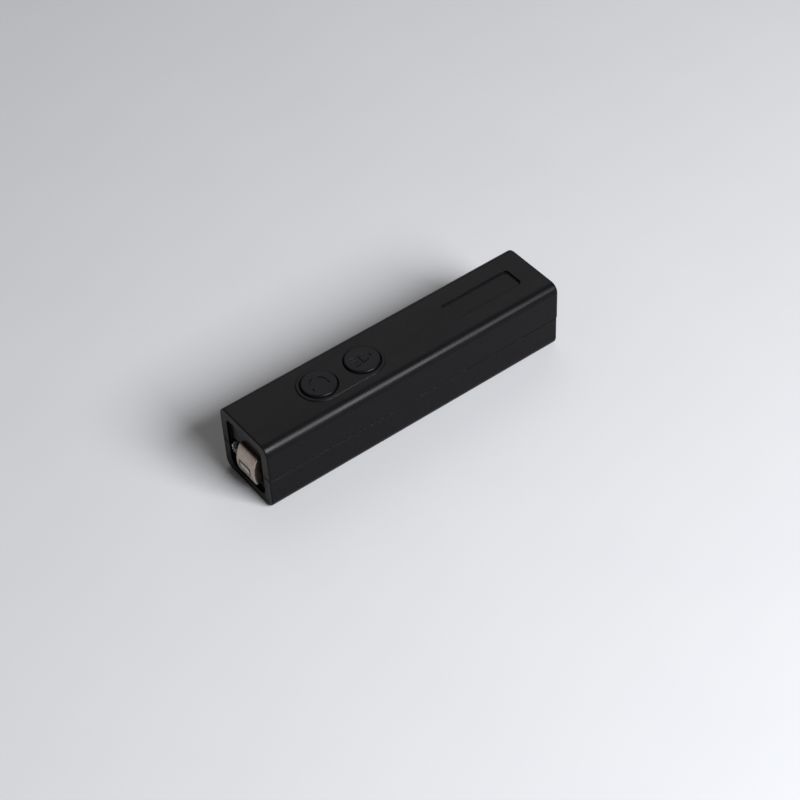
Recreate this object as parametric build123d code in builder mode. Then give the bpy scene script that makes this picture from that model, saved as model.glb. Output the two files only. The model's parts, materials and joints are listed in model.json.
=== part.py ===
from build123d import *
import os

# Hand-held banknote detector stick: a magnetic reading head and an ultraviolet lamp at the front
# end, two push buttons on top, one AAA cell in the tail. Millimetres. +X runs from the head to the
# tail, +Z is up, and the origin is on the resting surface, below the middle of the whole length.

# ---------------------------------------------------------------- case
case_length = 95.5
case_width = 21.2
case_height = 21.7
parting_height = 10.4
top_edge_radius = 2.8
bottom_edge_radius = 2.7
front_edge_radius = 0.35
tail_edge_radius = 0.8
side_wall = 1.6
top_wall = 1.8
bottom_wall = 2.2
tail_wall = 1.6
front_wall = 2.4
head_proud = 1.6
tail_step = 0.2

# Allowances: how far a cut runs past a face, how far a rib or post runs into the wall it stands
# on, and the slack used when edges are picked by height.
cut_over = 1.0
root_depth = 0.2
pick_slack = 0.1

front_x = head_proud - (case_length + head_proud) / 2
tail_x = front_x + case_length
ceiling = case_height - top_wall
cavity_start = front_x + front_wall
cavity_end = tail_x - tail_wall
cavity_width = case_width - 2 * side_wall
cavity_edge_radius = 1.4

# The two shells meet on a lip inside the wall, and a fine groove shows outside.
groove_height = 0.35
groove_depth = 0.3
groove_corner = 0.3
lip_height = 0.9
lip_thickness = 0.7
lip_gap = 0.1
above_lip = parting_height + lip_height + 2 * lip_gap

# ---------------------------------------------------------------- front opening
opening_width = 15.4
opening_low = 2.65
opening_high = 19.05
opening_depth = 0.7
opening_top_radius = 1.5
opening_bottom_radius = 2.2
panel_step_depth = 0.25
panel_step_width = 14.3
panel_step_high = 17.75
panel_step_low = 3.2
panel_step_radius = 1.2

# ---------------------------------------------------------------- reading head
head_width = 7.9
head_low = 5.45
head_high = 14.5
head_y = -1.5
head_face_radius = 10.1
head_nose_height = 9.2
head_depth = 10.6
head_wall = 0.5
head_front_wall = 2.3
head_inner_corner = 0.3
head_edge_radius = 0.45
head_corner_radius = 0.7
head_gap = 0.1
head_near_gap = 0.4
head_window_width = 5.2
head_window_height = 2.7
head_window_corner = 0.35
resin_recess = 0.18
resin_depth = 2.0

# Core of the head. Each half has a tip, a shoulder that slopes away from it, a side limb and
# half of the back limb. Heights are measured from the working gap.
core_width = 4.1
core_recess = 0.02
core_gap = 0.12
core_tip_height = 0.88
core_tip_length = 2.2
core_slope = 0.8
core_length = 7.9
core_outer = 2.7
core_inner = 1.8
core_hollow_start = 2.9
core_back_limb = 1.0
spacer_depth = 2.6
head_middle = (head_low + head_high) / 2
head_tip_x = front_x - head_proud
head_back_x = head_tip_x + head_depth
head_near_y = head_y - head_width / 2
head_far_y = head_y + head_width / 2
head_window_middle = head_nose_height + 0.1
terminal_board_thickness = 0.9
terminal_spacing = 3.0
terminal_radius = 0.35
terminal_length = 1.2
coil_limb_x = head_tip_x + core_recess + core_length - core_back_limb / 2
coil_half_height = 1.45
coil_length = 2.5
coil_width = core_width + 1.7
coil_corner = 0.4
coil_flange = 0.3
coil_flange_length = 2.6
coil_flange_width = core_width + 1.8
bobbin_length = 1.8
bobbin_width = core_width + 0.8
bobbin_play = 0.05

# The head rests on two ribs and is pressed down by a foam pad under a block.
cradle_x = (front_x + 3.6, front_x + 6.8)
cradle_thickness = 1.2
cradle_cheek = 1.0
cradle_cheek_top = 9.0
head_pad_thickness = 0.8
head_pad_length = 3.2
head_pad_width = head_width - 2.0
head_pad_x = front_x + 5.2

# ---------------------------------------------------------------- ultraviolet lamp
led_radius = 2.45
led_y = 5.05
led_height = 9.8
led_tip_x = front_x - 0.5
led_length = 8.6
led_flange_radius = 2.55
led_flange_thickness = 1.0
led_hole_radius = 2.65
led_gap_half_height = 2.2
led_seat_gap = 0.05
led_rib_x = front_x + 4.6
led_rib_thickness = 1.4
led_rib_width = 3.4
led_rib_foot_width = 4.1
lead_size = 0.5
lead_spacing = 2.54
lead_turn_x = front_x + 11.4
lead_start_x = led_tip_x + 4.4
lead_above_board = 0.5

# Lead frame inside the lens: a wide anvil with the chip's cup on it, and a slim post.
anvil_x = led_tip_x + 4.0
anvil_y = led_y - 0.55
anvil_size = (1.9, 1.5)
anvil_depth = 1.2
cup_x = led_tip_x + 3.4
cup_y = led_y - 0.15
cup_radius = 0.75
cup_depth = 0.7
post_x = led_tip_x + 3.6
post_y = led_y + 1.2
post_size = (0.7, 1.0)
post_depth = 1.4

# ---------------------------------------------------------------- buttons
button_pitch = 13.8
buttons_x = front_x + 30.85
button_x = {
    "alert": buttons_x - button_pitch / 2,
    "torch": buttons_x + button_pitch / 2,
}
pad_length = 26.0
pad_width = 12.3
pad_height = 0.3
pad_draft = 27
pad_edge_radius = 0.12
button_hole_radius = 5.12
hole_edge_radius = 0.12
cap_radius = 4.88
cap_proud = 0.85
cap_edge_radius = 0.45
cap_flange_radius = 5.8
cap_flange_thickness = 0.8
cap_wall = 1.1
cap_top = case_height + cap_proud
cap_flange_gap = 0.1
cap_low = ceiling - cap_flange_gap - cap_flange_thickness
cap_boss_radius = 1.3

# Engraved signs. Places run from the middle of the cap: an arch on the alert button, a torch seen
# from the side on the other one. Tilts are in degrees.
icon_depth = 0.2
icon_line = 0.4
arch_x = -0.2
arch_y = -0.2
arch_radius = 2.4
arch_leg = 1.55
arch_gaps = ((80, 1.8), (173, 1.25))
torch_bars = (
    ((-0.5, 0.0), (icon_line, 2.9), 0),
    ((2.5, 0.0), (icon_line, 1.3), 0),
    ((-2.1, 0.0), (1.2, icon_line), 0),
    ((0.6, 1.2), (1.6, icon_line), -17),
    ((0.6, -1.2), (1.6, icon_line), 17),
    ((-2.2, 1.45), (1.6, icon_line), -9),
    ((-2.2, -1.45), (1.6, icon_line), 9),
)

# ---------------------------------------------------------------- label recess
label_length = 22.75
label_width = 7.15
label_depth = 0.6
label_radius = 1.3
label_x = front_x + 77.4

# ---------------------------------------------------------------- circuit board and switches
board_low = 12.7
board_thickness = 1.2
board_top = board_low + board_thickness
board_start = front_x + 10.2
board_end = front_x + 44.9
board_width = 16.8
board_x = (board_start + board_end) / 2
board_corner = 0.6
board_hole_radius = 0.45
board_notch_gap = 0.2
board_post_radius = 1.1
board_post_pitch_x = 24.6
board_post_pitch_y = 14.8
shelf_x = (front_x + 19.4, front_x + 42.4)
shelf_y = 8.2
shelf_size = 1.2
switch_corner = 0.4
switch_well_gap = 0.2
switch_tab_low = 1.4
switch_tab_width = 2.4
switch_tab_thickness = 0.2
pin_rise = 1.0

# Pieces on the underside of the board; places run from the case's front face.
amplifier_x = front_x + 26.4
controller_x = front_x + 33.6
inductor_x = front_x + 40.6
trimmer_x = front_x + 19.0
big_part_y = 4.4
chip_length = 5.0
chip_width = 3.9
chip_drop = 1.6
chip_height = 1.45
chip_edge = 0.25
chip_legs = 4
chip_leg_pitch = 1.27
chip_leg_width = 0.42
chip_leg_thickness = 0.2
chip_foot = 1.0
chip_knee = 0.3
resistor_size = (1.6, 0.8, 0.5)
resistor_places = [(22.4, 6.6), (25.0, 6.6), (27.6, 6.6), (30.2, 6.6), (32.8, 6.6), (29.8, -6.6)]
capacitor_size = (2.0, 1.25, 0.9)
capacitor_places = [(23.0, -6.4), (26.2, -6.4), (33.4, -6.4), (36.2, -6.4)]
switch_size = 6.0
switch_base_height = 3.3
switch_cover_thickness = 0.25
switch_height = 4.3
stem_radius = 1.7
stem_hole_radius = 1.8
stem_flange_radius = 2.1
stem_flange_thickness = 0.6
stem_edge = 0.15
stem_top = board_top + switch_height
well_floor = board_top + 1.2
dome_thickness = 0.1
dome_rise = 0.6
stem_low = well_floor + dome_rise + dome_thickness
dome_radius = 2.2
pin_width = 0.7
pin_thickness = 0.3
pin_spread = 2.25

# ---------------------------------------------------------------- case screws
screw_x = front_x + 14.6
screw_y = 5.7
screw_seat = 2.6
screw_head_radius = 1.9
screw_head_height = 1.4
screw_radius = 0.95
screw_length = 12.0
screw_pilot_radius = 0.8
screw_pilot_depth = 6.0
screw_slot_length = 2.2
screw_slot_width = 0.45
screw_slot_depth = 0.9
screw_head_edge = 0.4
screw_point = 0.5
screw_clear_radius = 1.15
screw_well_radius = 2.1
screw_joint_height = above_lip
boss_radius = 1.9
foot_boss_radius = 2.8
foot_boss_height = 2.2

# ---------------------------------------------------------------- cell and contacts
cell_radius = 5.25
cell_height = 7.95
cell_start = front_x + 46.9
cell_length = 44.5
cell_sleeve = 0.12
nub_radius = 1.9
nub_length = 1.0
nub_edge_radius = 0.25
cell_top_radius = 3.6
cell_top_thickness = 0.4
cell_body_x = cell_start + nub_length + cell_top_thickness
cell_bare_end = 1.0
cell_edge_radius = 0.5
partition_x = front_x + 45.2
partition_thickness = 1.0
lower_partition_top = 12.4
upper_partition_low = 15.0
contact_thickness = 0.4
contact_plate_x = cavity_end - contact_thickness
contact_corner = 0.8
positive_plate_size = (8.0, 7.6)
negative_plate_size = (9.0, 8.4)
ear_place = (-5.2, 13.2)
ear_size = (4.0, 2.4)
ear_neck_place = (-3.8, 12.0)
ear_neck_size = (1.2, 2.4)
spring_radius = 3.0
spring_wire = 0.3
saddle_positions = (front_x + 58.0, front_x + 80.0)
saddle_thickness = 1.6
saddle_gap = 0.15

# Solder tab of the positive contact, and the route of the negative wire past the cell.
tab_y = 2.0
tab_width = 2.4
tab_low = 11.4
tab_fold_height = upper_partition_low - contact_thickness
wire_run_y = -7.6
wire_run_height = 15.2
wire_notch = 1.5
tab_gap = 0.3
tab_notch_height = 1.0

# ---------------------------------------------------------------- battery door
door_start = front_x + 46.6
door_half = 6.2
door_thickness = 2.0
tongue_half = 6.9
tongue_low = 0.9
tongue_high = 1.7
door_gap = 0.12
grip_ridges = 4
grip_pitch = 1.6
grip_width = 0.8
grip_depth = 0.35
grip_length = 8.0
grip_x = tail_x - 8.5

# ---------------------------------------------------------------- vibration motor
motor_x = front_x + 20.0
motor_height = 6.1
motor_radius = 3.0
motor_length = 11.0
motor_wall = 0.3
motor_end_thickness = 0.8
motor_nose_wall = 0.6
motor_spigot = 0.6
motor_edge_radius = 0.4
magnet_x = motor_x + 3.0
magnet_radius = 1.7
armature_x = motor_x + 1.4
armature_disc = 0.8
armature_radius = 2.5
armature_hollow = 1.9
armature_disc_radius = 2.2
armature_length = motor_length - 2.4
shaft_radius = 0.5
shaft_run = 0.05
shaft_x = motor_x + 0.8
shaft_overhang = 0.4
shaft_edge = 0.12
boot_wall = 0.6
boot_length = 6.5
boot_x = motor_x + 2.2
motor_rib_x = (motor_x + 3.0, motor_x + 6.6)
motor_rib_thickness = 1.2
motor_rib_width = 9.4
weight_radius = 2.6
weight_length = 4.0
weight_x = motor_x + motor_length + 1.2

# ---------------------------------------------------------------- wires
wire_radius = 0.4
wide_bend = 1.5
middle_bend = 0.9
tight_bend = 0.45
positive_wire_x = partition_x - 0.5
positive_drop_x = partition_x - 3.1
positive_drop_y = 6.0
negative_drop_x = front_x + 44.2
negative_drop_y = -6.4
ear_joint_y = -6.6
motor_wire_y = 1.2
motor_drop_x = motor_x - 3.4
motor_drop_y = 3.4
motor_wire_rise = 2.6
head_wire_reach = 3.0


def save(part, name):
    part.label = name
    export_step(part, f"parts/{name}.step")


def above(height):
    return lambda shape: shape.center().Z > height


def below(height):
    return lambda shape: shape.center().Z < height


def clear_of_parting(shape):
    return abs(shape.center().Z - parting_height) > pick_slack


def is_full_circle(edge):
    return edge.is_closed


def panel_cut_outs():
    # Holes in the front panel: one for the head, wider on its near side, and one for the lamp.
    hole_low_y = head_near_y - head_near_gap
    hole_high_y = head_far_y + head_gap
    with Locations(((hole_low_y + hole_high_y) / 2, head_middle)):
        Rectangle(hole_high_y - hole_low_y, head_high - head_low + 2 * head_gap)
    with Locations((led_y, led_height)):
        Circle(led_hole_radius)
    with Locations(((head_y + led_y) / 2, led_height)):
        Rectangle(led_y - head_y, 2 * led_gap_half_height)


def make_upper_shell():
    with BuildPart() as upper_shell:
        # Outer half with its rounded long edges and softened ends.
        with BuildSketch(Plane.YZ.offset(front_x)):
            with Locations((0, (parting_height + case_height) / 2)):
                Rectangle(case_width, case_height - parting_height)
            fillet(vertices().group_by(Axis.Y)[-1], radius=top_edge_radius)
        extrude(amount=case_length)
        fillet(faces().sort_by(Axis.X)[-1].edges().filter_by(clear_of_parting), tail_edge_radius)
        fillet(faces().sort_by(Axis.X)[0].edges().filter_by(clear_of_parting), front_edge_radius)
        # Hollow inside.
        with BuildSketch(Plane.YZ.offset(cavity_start)):
            with Locations((0, (parting_height + ceiling) / 2)):
                Rectangle(cavity_width, ceiling - parting_height)
            fillet(vertices().group_by(Axis.Y)[-1], radius=cavity_edge_radius)
        extrude(amount=cavity_end - cavity_start, mode=Mode.SUBTRACT)
        # Rebate that takes the lower shell's lip along both sides and the tail.
        lip_reach = lip_thickness + lip_gap
        with BuildSketch(Plane.XY.offset(parting_height)):
            with Locations(((cavity_start + cavity_end + lip_reach) / 2, 0)):
                Rectangle(cavity_end - cavity_start + lip_reach, cavity_width + 2 * lip_reach)
        extrude(amount=lip_height + lip_gap, mode=Mode.SUBTRACT)
        # Shallow front opening, with a panel left behind it.
        with BuildSketch(Plane.YZ.offset(front_x)):
            with Locations((0, (parting_height - cut_over + opening_high) / 2)):
                Rectangle(opening_width, opening_high - parting_height + cut_over)
            fillet(vertices().group_by(Axis.Y)[-1], radius=opening_top_radius)
        extrude(amount=opening_depth, mode=Mode.SUBTRACT)
        # The panel steps back inside the opening and is cut out around the head and the lamp.
        with BuildSketch(Plane.YZ.offset(front_x)):
            with Locations((0, (parting_height - cut_over + panel_step_high) / 2)):
                Rectangle(panel_step_width, panel_step_high - parting_height + cut_over)
            fillet(vertices().group_by(Axis.Y)[-1], radius=panel_step_radius)
        extrude(amount=opening_depth + panel_step_depth, mode=Mode.SUBTRACT)
        with BuildSketch(Plane.YZ.offset(front_x)):
            panel_cut_outs()
        extrude(amount=front_wall + cut_over, mode=Mode.SUBTRACT)
        # Raised pad round the buttons, the two button holes and the label recess.
        with BuildSketch(Plane.XY.offset(case_height)):
            with Locations((buttons_x, 0)):
                SlotOverall(pad_length, pad_width)
        extrude(amount=pad_height, taper=pad_draft)
        fillet(faces().sort_by(Axis.Z)[-1].edges(), radius=pad_edge_radius)
        with BuildSketch(Plane.XY.offset(case_height + pad_height)):
            with Locations([(x, 0) for x in button_x.values()]):
                Circle(button_hole_radius)
        extrude(amount=-pad_height - top_wall - cut_over, mode=Mode.SUBTRACT)
        pad_top = faces().sort_by(Axis.Z)[-1]
        fillet(pad_top.edges().filter_by(is_full_circle), radius=hole_edge_radius)
        with BuildSketch(Plane.XY.offset(case_height)):
            with Locations((label_x, 0)):
                RectangleRounded(label_length, label_width, label_radius)
        extrude(amount=-label_depth, mode=Mode.SUBTRACT)
        # Screw bosses and board posts hang from the ceiling.
        with BuildSketch(Plane.XY.offset(screw_joint_height)):
            with Locations((screw_x, screw_y), (screw_x, -screw_y)):
                Circle(boss_radius)
        extrude(amount=ceiling - screw_joint_height + root_depth)
        with BuildSketch(Plane.XY.offset(screw_joint_height)):
            with Locations((screw_x, screw_y), (screw_x, -screw_y)):
                Circle(screw_pilot_radius)
        extrude(amount=screw_pilot_depth, mode=Mode.SUBTRACT)
        with BuildSketch(Plane.XY.offset(board_top)):
            with Locations((buttons_x, 0)):
                with GridLocations(board_post_pitch_x, board_post_pitch_y, 2, 2):
                    Circle(board_post_radius)
        extrude(amount=ceiling - board_top + root_depth)
        # Saddles press the cell, and a partition closes the electronics bay.
        for x in saddle_positions:
            with BuildSketch(Plane.YZ.offset(x)):
                with Locations((0, (above_lip + ceiling) / 2)):
                    Rectangle(cavity_width + root_depth, ceiling - above_lip + root_depth)
                with Locations((0, cell_height)):
                    Circle(cell_radius + saddle_gap, mode=Mode.SUBTRACT)
                with Locations((wire_run_y, wire_run_height)):
                    Rectangle(wire_notch, wire_notch, mode=Mode.SUBTRACT)
            extrude(amount=saddle_thickness)
        with BuildSketch(Plane.YZ.offset(partition_x)):
            with Locations((0, (upper_partition_low + ceiling) / 2)):
                Rectangle(cavity_width + root_depth, ceiling - upper_partition_low + root_depth)
            with Locations((wire_run_y, wire_run_height)):
                Rectangle(wire_notch, wire_notch, mode=Mode.SUBTRACT)
            with Locations((tab_y, upper_partition_low)):
                Rectangle(tab_width + 2 * tab_gap, 2 * tab_notch_height, mode=Mode.SUBTRACT)
        extrude(amount=partition_thickness)
        # A block over the head and a rib over the lamp hold them down.
        with BuildSketch(Plane.XY.offset(head_high + head_pad_thickness)):
            with Locations((head_pad_x, head_y)):
                Rectangle(head_pad_length, head_pad_width)
        extrude(amount=ceiling - head_high - head_pad_thickness + root_depth)
        with BuildSketch(Plane.YZ.offset(led_rib_x)):
            with Locations((led_y, (above_lip + ceiling) / 2)):
                Rectangle(led_rib_width, ceiling - above_lip + root_depth)
            with Locations((led_y, led_height)):
                Circle(led_radius + led_seat_gap, mode=Mode.SUBTRACT)
        extrude(amount=led_rib_thickness)
    return upper_shell.part


def make_lower_shell():
    with BuildPart() as lower_shell:
        with BuildSketch(Plane.YZ.offset(front_x)):
            with Locations((0, parting_height / 2)):
                Rectangle(case_width, parting_height)
            fillet(vertices().group_by(Axis.Y)[0], radius=bottom_edge_radius)
        extrude(amount=case_length - tail_step)
        fillet(faces().sort_by(Axis.X)[-1].edges().filter_by(clear_of_parting), tail_edge_radius)
        fillet(faces().sort_by(Axis.X)[0].edges().filter_by(clear_of_parting), front_edge_radius)
        # Groove along the parting line.
        with BuildSketch(Plane.XY.offset(parting_height - groove_height)):
            with Locations(((front_x + tail_x) / 2, 0)):
                Rectangle(case_length + cut_over, case_width + cut_over)
            with Locations(((front_x + tail_x - tail_step) / 2, 0)):
                RectangleRounded(
                    case_length - tail_step - 2 * groove_depth,
                    case_width - 2 * groove_depth,
                    groove_corner,
                    mode=Mode.SUBTRACT,
                )
        extrude(amount=groove_height, mode=Mode.SUBTRACT)
        # Hollow inside.
        with BuildSketch(Plane.YZ.offset(cavity_start)):
            with Locations((0, (bottom_wall + parting_height + cut_over) / 2)):
                Rectangle(cavity_width, parting_height + cut_over - bottom_wall)
            fillet(vertices().group_by(Axis.Y)[0], radius=cavity_edge_radius)
        extrude(amount=cavity_end - cavity_start, mode=Mode.SUBTRACT)
        # Lip that stands up inside the upper shell.
        with BuildSketch(Plane.XY.offset(parting_height - cut_over)):
            with Locations(((cavity_start + cavity_end + lip_thickness) / 2, 0)):
                Rectangle(cavity_end - cavity_start + lip_thickness, cavity_width + 2 * lip_thickness)
            with Locations(((cavity_start + cavity_end) / 2, 0)):
                Rectangle(cavity_end - cavity_start, cavity_width, mode=Mode.SUBTRACT)
        extrude(amount=cut_over + lip_height)
        # Front opening and the cut-outs in its panel.
        with BuildSketch(Plane.YZ.offset(front_x)):
            with Locations((0, (opening_low + parting_height + cut_over) / 2)):
                Rectangle(opening_width, parting_height + cut_over - opening_low)
            fillet(vertices().group_by(Axis.Y)[0], radius=opening_bottom_radius)
        extrude(amount=opening_depth, mode=Mode.SUBTRACT)
        with BuildSketch(Plane.YZ.offset(front_x)):
            with Locations((0, (panel_step_low + parting_height + cut_over) / 2)):
                Rectangle(panel_step_width, parting_height + cut_over - panel_step_low)
            fillet(vertices().group_by(Axis.Y)[0], radius=opening_bottom_radius)
        extrude(amount=opening_depth + panel_step_depth, mode=Mode.SUBTRACT)
        with BuildSketch(Plane.YZ.offset(front_x)):
            panel_cut_outs()
        extrude(amount=front_wall + root_depth, mode=Mode.SUBTRACT)
        # Screw posts: a wide foot round the head well, a slimmer post above it.
        with BuildSketch(Plane.XY.offset(bottom_wall - root_depth)):
            with Locations((screw_x, screw_y), (screw_x, -screw_y)):
                Circle(foot_boss_radius)
        extrude(amount=foot_boss_height)
        with BuildSketch(Plane.XY.offset(bottom_wall - root_depth)):
            with Locations((screw_x, screw_y), (screw_x, -screw_y)):
                Circle(boss_radius)
        extrude(amount=screw_joint_height - bottom_wall + root_depth)
        with BuildSketch(Plane.XY):
            with Locations((screw_x, screw_y), (screw_x, -screw_y)):
                Circle(screw_clear_radius)
        extrude(amount=screw_joint_height + cut_over, mode=Mode.SUBTRACT)
        with BuildSketch(Plane.XY):
            with Locations((screw_x, screw_y), (screw_x, -screw_y)):
                Circle(screw_well_radius)
        extrude(amount=screw_seat, mode=Mode.SUBTRACT)
        # Board shelves along both walls.
        for x in shelf_x:
            with BuildSketch(Plane.YZ.offset(x)):
                shelf_middle = (bottom_wall + board_low) / 2
                with Locations((-shelf_y, shelf_middle), (shelf_y, shelf_middle)):
                    Rectangle(shelf_size, board_low - bottom_wall)
            extrude(amount=shelf_size)
        # Cradle ribs under the head, each with a cheek on its near side.
        for x in cradle_x:
            with BuildSketch(Plane.YZ.offset(x)):
                with Locations((head_y - cradle_cheek / 2, (bottom_wall + cradle_cheek_top) / 2)):
                    Rectangle(head_width + cradle_cheek, cradle_cheek_top - bottom_wall + root_depth)
                with Locations((head_y, head_low + case_height / 2)):
                    Rectangle(head_width, case_height, mode=Mode.SUBTRACT)
            extrude(amount=cradle_thickness)
        # Seats of the lamp and of the motor in its boot.
        led_foot_y = head_far_y + 2 * head_gap + led_rib_foot_width / 2
        with BuildSketch(Plane.YZ.offset(led_rib_x)):
            with Locations((led_foot_y, (bottom_wall + led_height) / 2)):
                Rectangle(led_rib_foot_width, led_height - bottom_wall + root_depth)
            with Locations((led_y, led_height)):
                Circle(led_radius + led_seat_gap, mode=Mode.SUBTRACT)
        extrude(amount=led_rib_thickness)
        for x in motor_rib_x:
            with BuildSketch(Plane.YZ.offset(x)):
                with Locations((0, (bottom_wall + motor_height) / 2)):
                    Rectangle(motor_rib_width, motor_height - bottom_wall + root_depth)
                with Locations((0, motor_height)):
                    Circle(motor_radius + boot_wall, mode=Mode.SUBTRACT)
            extrude(amount=motor_rib_thickness)
        # Partition and saddles of the battery bay.
        with BuildSketch(Plane.YZ.offset(partition_x)):
            with Locations((0, (bottom_wall + lower_partition_top) / 2)):
                Rectangle(cavity_width - root_depth, lower_partition_top - bottom_wall + root_depth)
        extrude(amount=partition_thickness)
        for x in saddle_positions:
            with BuildSketch(Plane.YZ.offset(x)):
                with Locations((0, (bottom_wall + parting_height) / 2)):
                    Rectangle(cavity_width + root_depth, parting_height - bottom_wall)
                with Locations((0, cell_height)):
                    Circle(cell_radius + saddle_gap, mode=Mode.SUBTRACT)
                with Locations((0, bottom_wall)):
                    way = 2 * (cell_height - bottom_wall)
                    Rectangle(2 * (door_half + door_gap), way, mode=Mode.SUBTRACT)
            extrude(amount=saddle_thickness)
        # Way for the door: a slot with a groove on each side, open at the tail.
        with BuildSketch(Plane.YZ.offset(door_start - door_gap)):
            with Locations((0, bottom_wall / 2)):
                Rectangle(2 * (door_half + door_gap), bottom_wall + cut_over)
            with Locations((0, (tongue_low + tongue_high) / 2)):
                Rectangle(2 * (tongue_half + door_gap), tongue_high - tongue_low + 2 * door_gap)
        extrude(amount=cavity_end - door_start + door_gap, mode=Mode.SUBTRACT)
        with BuildSketch(Plane.YZ.offset(cavity_end)):
            with Locations((0, (door_thickness + door_gap) / 2 - cut_over / 2)):
                Rectangle(2 * (door_half + door_gap), door_thickness + door_gap + cut_over)
            with Locations((0, (tongue_low + tongue_high) / 2)):
                Rectangle(2 * (tongue_half + door_gap), tongue_high - tongue_low + 2 * door_gap)
        extrude(amount=tail_wall + cut_over, mode=Mode.SUBTRACT)
    return lower_shell.part


def make_battery_door():
    with BuildPart() as battery_door:
        # Same outer form as the lower shell, cut down to a plate with a tongue along each side.
        with BuildSketch(Plane.YZ.offset(door_start)):
            with Locations((0, parting_height / 2)):
                Rectangle(case_width, parting_height)
        extrude(amount=tail_x - tail_step - door_start)
        fillet(faces().sort_by(Axis.X)[-1].edges().filter_by(clear_of_parting), tail_edge_radius)
        with BuildSketch(Plane.YZ.offset(door_start)):
            with Locations((0, door_thickness / 2)):
                Rectangle(2 * door_half, door_thickness)
            with Locations((0, (tongue_low + tongue_high) / 2)):
                Rectangle(2 * tongue_half, tongue_high - tongue_low)
        extrude(amount=case_length, mode=Mode.INTERSECT)
        # Thumb grip: short grooves across the plate.
        with BuildSketch(Plane.XY):
            with Locations((grip_x, 0)):
                with GridLocations(grip_pitch, grip_width, grip_ridges, 1):
                    SlotOverall(grip_length, grip_width, rotation=90)
        extrude(amount=grip_depth, mode=Mode.SUBTRACT)
    return battery_door.part


def make_case_screws():
    with BuildPart() as case_screws:
        for y in (screw_y, -screw_y):
            with BuildSketch(Plane((screw_x, y, screw_seat - screw_head_height))):
                Circle(screw_head_radius)
            extrude(amount=screw_head_height)
            with BuildSketch(Plane((screw_x, y, screw_seat))):
                Circle(screw_radius)
            extrude(amount=screw_length)
            with BuildSketch(Plane((screw_x, y, screw_seat - screw_head_height))):
                Rectangle(screw_slot_length, screw_slot_width)
                Rectangle(screw_slot_width, screw_slot_length)
            extrude(amount=screw_slot_depth, mode=Mode.SUBTRACT)
        rounds = edges().filter_by(GeomType.CIRCLE)
        fillet(rounds.filter_by(below(screw_seat - screw_head_height + pick_slack)), radius=screw_head_edge)
        rounds = edges().filter_by(GeomType.CIRCLE)
        chamfer(rounds.filter_by(above(screw_seat + screw_length - pick_slack)), length=screw_point)
    return case_screws.part


def arch_sign():
    # An arch with a straight leg on each side and two gaps.
    with Locations((arch_x, arch_y)):
        Circle(arch_radius + icon_line / 2)
        Circle(arch_radius - icon_line / 2, mode=Mode.SUBTRACT)
    with Locations((arch_x, arch_y - arch_radius)):
        Rectangle(4 * arch_radius, 2 * arch_radius, mode=Mode.SUBTRACT)
    with Locations([(arch_x + side * arch_radius, arch_y - arch_leg / 2) for side in (1, -1)]):
        Rectangle(icon_line, arch_leg)
    for angle, width in arch_gaps:
        with Locations(Location((arch_x, arch_y, 0), (0, 0, angle))):
            with Locations((arch_radius, 0)):
                Rectangle(3 * icon_line, width, mode=Mode.SUBTRACT)


def torch_sign():
    for (x, y), (length, width), tilt in torch_bars:
        with Locations(Location((x, y, 0), (0, 0, tilt))):
            Rectangle(length, width)


def make_button_cap(name):
    x = button_x[name]
    with BuildPart() as cap:
        with BuildSketch(Plane((x, 0, cap_low))):
            Circle(cap_radius)
        extrude(amount=cap_top - cap_low)
        fillet(edges().filter_by(GeomType.CIRCLE).sort_by(Axis.Z)[-1], radius=cap_edge_radius)
        with BuildSketch(Plane((x, 0, cap_low))):
            Circle(cap_flange_radius)
        extrude(amount=cap_flange_thickness)
        # Hollow underside with a boss that meets the switch stem.
        with BuildSketch(Plane((x, 0, cap_low))):
            Circle(cap_radius - cap_wall)
        extrude(amount=cap_top - cap_low - cap_wall, mode=Mode.SUBTRACT)
        with BuildSketch(Plane((x, 0, stem_top))):
            Circle(cap_boss_radius)
        extrude(amount=cap_top - cap_wall - stem_top + root_depth)
        with BuildSketch(Plane((x, 0, cap_top))):
            if name == "alert":
                arch_sign()
            else:
                torch_sign()
        extrude(amount=-icon_depth, mode=Mode.SUBTRACT)
    return cap.part


def make_switch_stem(name):
    with BuildPart() as stem:
        with BuildSketch(Plane((button_x[name], 0, stem_low))):
            Circle(stem_radius)
        extrude(amount=stem_top - stem_low)
        with BuildSketch(Plane((button_x[name], 0, stem_low))):
            Circle(stem_flange_radius)
        extrude(amount=stem_flange_thickness)
        chamfer(edges().filter_by(GeomType.CIRCLE).sort_by(Axis.Z)[-1], length=stem_edge)
    return stem.part


def make_switch_dome(name):
    # A shallow pressed spring disc: a slice of a thin ball shell on a flat rim.
    ball = (dome_radius**2 + dome_rise**2) / (2 * dome_rise)
    centre = well_floor + dome_rise + dome_thickness - ball
    with BuildPart() as dome:
        with BuildSketch(Plane((button_x[name], 0, 0), x_dir=(1, 0, 0), z_dir=(0, -1, 0))):
            with Locations((0, centre)):
                Circle(ball)
                Circle(ball - dome_thickness, mode=Mode.SUBTRACT)
            with Locations((dome_radius / 2, well_floor + dome_rise)):
                Rectangle(dome_radius, 2 * dome_rise, mode=Mode.INTERSECT)
        revolve(axis=Axis((button_x[name], 0, 0), (0, 0, 1)))
    return dome.part


def make_switch_bases():
    with BuildPart() as bases:
        with BuildSketch(Plane.XY.offset(board_top)):
            with Locations([(x, 0) for x in button_x.values()]):
                RectangleRounded(switch_size, switch_size, switch_corner)
        extrude(amount=switch_base_height)
        with BuildSketch(Plane.XY.offset(well_floor)):
            with Locations([(x, 0) for x in button_x.values()]):
                Circle(stem_flange_radius + switch_well_gap)
        extrude(amount=switch_base_height, mode=Mode.SUBTRACT)
    return bases.part


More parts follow.
